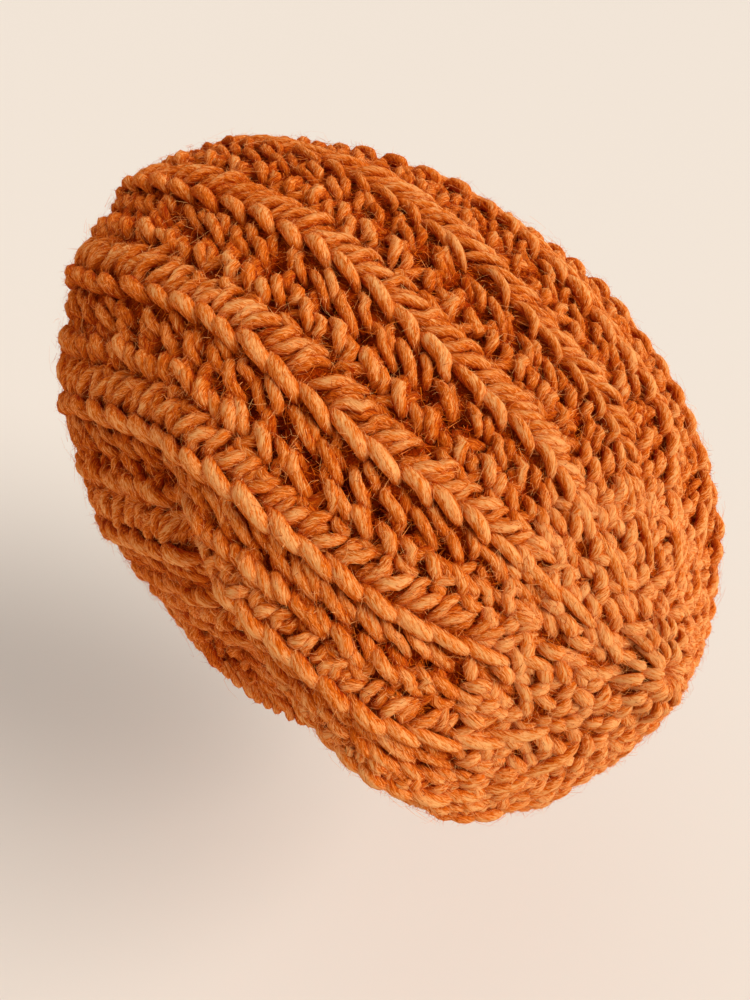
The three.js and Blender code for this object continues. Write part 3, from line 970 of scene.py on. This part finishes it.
class BEANIE_OT_crown(bpy.types.Operator):
    """Crowd the loops of the crown together in no order"""

    bl_idname = "beanie.crown"
    bl_label = "Crown loops"

    def execute(self, context):
        scene = context.scene
        rng = draws(scene, "crown")
        rib = rng.uniform(0, RIBS, CROWN_TRIES)
        along = rng.uniform(0.84, 0.975, CROWN_TRIES)
        heights = rng.uniform(-2.8, -0.7, CROWN_TRIES) - LAID_UNDER
        place, outward = on_form(OUTER_FORM, rib, along, heights)
        chosen = []
        for k in range(CROWN_TRIES):
            if not chosen or np.linalg.norm(place[chosen] - place[k], axis=1).min() > CROWN_SPACING:
                chosen.append(k)
        rib, along, place, outward = rib[chosen], along[chosen], place[chosen], outward[chosen]
        count = len(chosen)
        ahead, _ = form_axes(OUTER_FORM, rib_angle(rib, along), along)
        lean = rng.normal(0.2, 0.7, count)[:, None]
        along_loop = ahead * np.cos(lean) + np.cross(ahead, outward) * np.sin(lean)
        aside = np.cross(outward, along_loop)
        half_length = rng.uniform(3.2, 4.6, count)[:, None]
        bow = rng.normal(0, 0.9, count)[:, None]
        control = []
        for step, arch, drop in CROWN_ARCH:
            forward = along_loop * half_length * step
            control.append(place + forward + aside * bow * arch + outward * drop)
        steps = 9
        path = smooth_paths(np.stack(control, axis=1), steps)
        facing = np.broadcast_to(outward[:, None], path.shape)
        arch = np.sin(np.pi * np.linspace(0, 1, steps))[None]
        size = rng.uniform(0.88, 1.12, (count, 1)) * np.maximum(arch, 0.2) ** 0.6
        # Painted shade at the loops' ends, where they dive under.
        depth = np.broadcast_to(0.92 * (0.74 + 0.26 * arch), path.shape[:2])
        piece = dressed_strands("crown_loops", path, facing, 2.1 * size, 1.8 * size,
                                rng.uniform(0, 1, count), depth, hat_yarn(scene))
        return {"FINISHED"}


class BEANIE_OT_gather(bpy.types.Operator):
    """Draw the ribs' ends together at the crown"""

    bl_idname = "beanie.gather"
    bl_label = "Drawn-up crown"

    def execute(self, context):
        scene = context.scene
        rng = draws(scene, "gather")
        tilt = np.radians(OUTER_FORM[-1, 3])
        axis = np.array([0.0, np.sin(tilt), np.cos(tilt)])
        centre = np.array([0.0, OUTER_FORM[-1, 1], OUTER_FORM[-1, 2]]) - axis * LAID_UNDER
        side = np.array([1.0, 0.0, 0.0])
        other = np.cross(axis, side)
        paths = []
        for ring, (number, far, near, top) in enumerate(GATHER_RINGS):
            for k in range(number):
                turn = 2 * np.pi * (k + rng.normal(0, 0.16) + 0.5 * ring) / number
                twist = rng.normal(0.10, 0.16)
                begin = far * rng.uniform(0.88, 1.1)
                points = []
                for t in (0.0, 0.25, 0.5, 0.75, 1.0):
                    reach = begin + (near - begin) * t
                    angle = turn + twist * t
                    arch = top * np.sin(np.pi * min(t + 0.1, 1))
                    height = arch - 2.4 * t ** 4 - 3.5 * (1 - t) ** 3 - 0.011 * reach ** 2
                    out = np.cos(angle) * side + np.sin(angle) * other
                    points.append(centre + out * reach + axis * height)
                paths.append(points)
        steps = 10
        path = smooth_paths(np.array(paths), steps)
        outward = np.broadcast_to(axis, path.shape)
        count = len(path)
        t = np.linspace(0, 1, steps)
        plump = (np.maximum(np.sin(np.pi * (0.06 + 0.86 * t)), 0.2) ** 0.7)[None]
        size = rng.uniform(0.85, 1.15, (count, 1)) * plump
        # Painted shade that deepens toward the middle, where the strands are drawn in.
        piece = dressed_strands(
            "crown_strands", path, outward, 1.75 * size, 1.4 * size, rng.uniform(0.3, 1, count),
            np.broadcast_to(1.0 - 0.45 * t[None] ** 2, path.shape[:2]), hat_yarn(scene))
        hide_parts("crown_gather")
        return {"FINISHED"}


class BEANIE_OT_fuzz(bpy.types.Operator):
    """Scatter the fibres over the strands and between them"""

    bl_idname = "beanie.fuzz"
    bl_label = "Fibres"

    def execute(self, context):
        scene = context.scene
        fuzz = scene.beanie_fuzz
        rng = draws(scene, "fuzz")
        thin = 1.0
        material = material_named("hat_fibres", fibre_material, yarn_colours(scene))
        piece = matted_fibres(rng, int(fuzz.matted * thin), fuzz, material)
        piece = loose_fibres(rng, int(fuzz.count * thin), fuzz, material)
        for number in range(2):
            piece = fibres_on_strands(
                f"strand_fibres_{number + 1}", rng, fuzz.per_strand * thin, fuzz, material)
        return {"FINISHED"}


class BEANIE_OT_stage(bpy.types.Operator):
    """Set the floor, the light and the camera"""

    bl_idname = "beanie.stage"
    bl_label = "Floor, light and camera"

    def execute(self, context):
        scene = context.scene
        mesh = bpy.data.meshes.new("floor")
        signs = ((-1, -1), (1, -1), (1, 1), (-1, 1))
        corners = [(x * FLOOR_REACH, y * FLOOR_REACH, FLOOR_HEIGHT) for x, y in signs]
        mesh.from_pydata(corners, [], [(0, 1, 2, 3)])
        floor = bpy.data.objects.new("floor", mesh)
        scene.collection.objects.link(floor)
        material = bpy.data.materials.new("floor_pale")
        material.use_nodes = True
        shader = material.node_tree.nodes["Principled BSDF"]
        shader.inputs["Base Color"].default_value = (*scene.beanie_stage.floor, 1)
        shader.inputs["Roughness"].default_value = 0.8
        mesh.materials.append(material)

        scene.view_settings.view_transform = "Standard"
        world = bpy.data.worlds.new("room")
        scene.world = world
        world.use_nodes = True
        background = world.node_tree.nodes["Background"]
        background.inputs["Color"].default_value = (*ROOM_COLOUR, 1)
        background.inputs["Strength"].default_value = scene.beanie_stage.room

        sun = bpy.data.lights.new("key", "SUN")
        sun.energy = scene.beanie_stage.key
        sun.angle = np.radians(KEY_SPREAD)
        sun.color = KEY_COLOUR
        lamp = bpy.data.objects.new("key", sun)
        lamp.rotation_euler = Vector(KEY_FROM).to_track_quat("Z", "Y").to_euler()
        scene.collection.objects.link(lamp)

        camera_data = bpy.data.cameras.new("photo_camera")
        camera_data.lens = CAMERA_LENS
        camera_data.sensor_width = CAMERA_SENSOR
        camera_data.sensor_fit = "AUTO"
        camera_data.clip_start = 0.01
        camera = bpy.data.objects.new("photo_camera", camera_data)
        facing = Matrix((CAMERA_RIGHT, CAMERA_UP, [-c for c in CAMERA_AHEAD])).transposed()
        camera.matrix_world = Matrix.Translation(Vector(CAMERA_PLACE)) @ facing.to_4x4()
        scene.collection.objects.link(camera)
        scene.camera = camera
        return {"FINISHED"}


class BEANIE_PT_panel(bpy.types.Panel):
    """The hat's pieces and settings"""

    bl_label = "Beanie"
    bl_idname = "BEANIE_PT_panel"
    bl_space_type = "VIEW_3D"
    bl_region_type = "UI"
    bl_category = "Beanie"

    def draw(self, context):
        scene = context.scene
        for group in (scene.beanie_yarn, scene.beanie_fuzz, scene.beanie_stage):
            for name in group.__annotations__:
                self.layout.prop(group, name)
        for name in PIECE_ORDER:
            self.layout.operator("beanie." + name)


PIECE_ORDER = (
    "stage", "ground", "ropes", "seam", "loops", "inside", "brim", "crown", "gather", "fuzz",
)
CLASSES = (
    BeanieYarn, BeanieFuzz, BeanieStage, BEANIE_OT_stage, BEANIE_OT_ground, BEANIE_OT_ropes,
    BEANIE_OT_seam, BEANIE_OT_loops, BEANIE_OT_inside, BEANIE_OT_brim, BEANIE_OT_crown,
    BEANIE_OT_gather, BEANIE_OT_fuzz, BEANIE_PT_panel,
)


def register():
    """Add the settings, the operators and the panel."""
    for item in CLASSES:
        bpy.utils.register_class(item)
    bpy.types.Scene.beanie_yarn = bpy.props.PointerProperty(type=BeanieYarn)
    bpy.types.Scene.beanie_fuzz = bpy.props.PointerProperty(type=BeanieFuzz)
    bpy.types.Scene.beanie_stage = bpy.props.PointerProperty(type=BeanieStage)


def unregister():
    """Take them away again, in the opposite order."""
    del bpy.types.Scene.beanie_stage
    del bpy.types.Scene.beanie_fuzz
    del bpy.types.Scene.beanie_yarn
    for item in reversed(CLASSES):
        bpy.utils.unregister_class(item)


def main():
    """Make every piece in order."""
    register()
    for name in PIECE_ORDER:
        getattr(bpy.ops.beanie, name)()


if __name__ == "__main__":
    main()
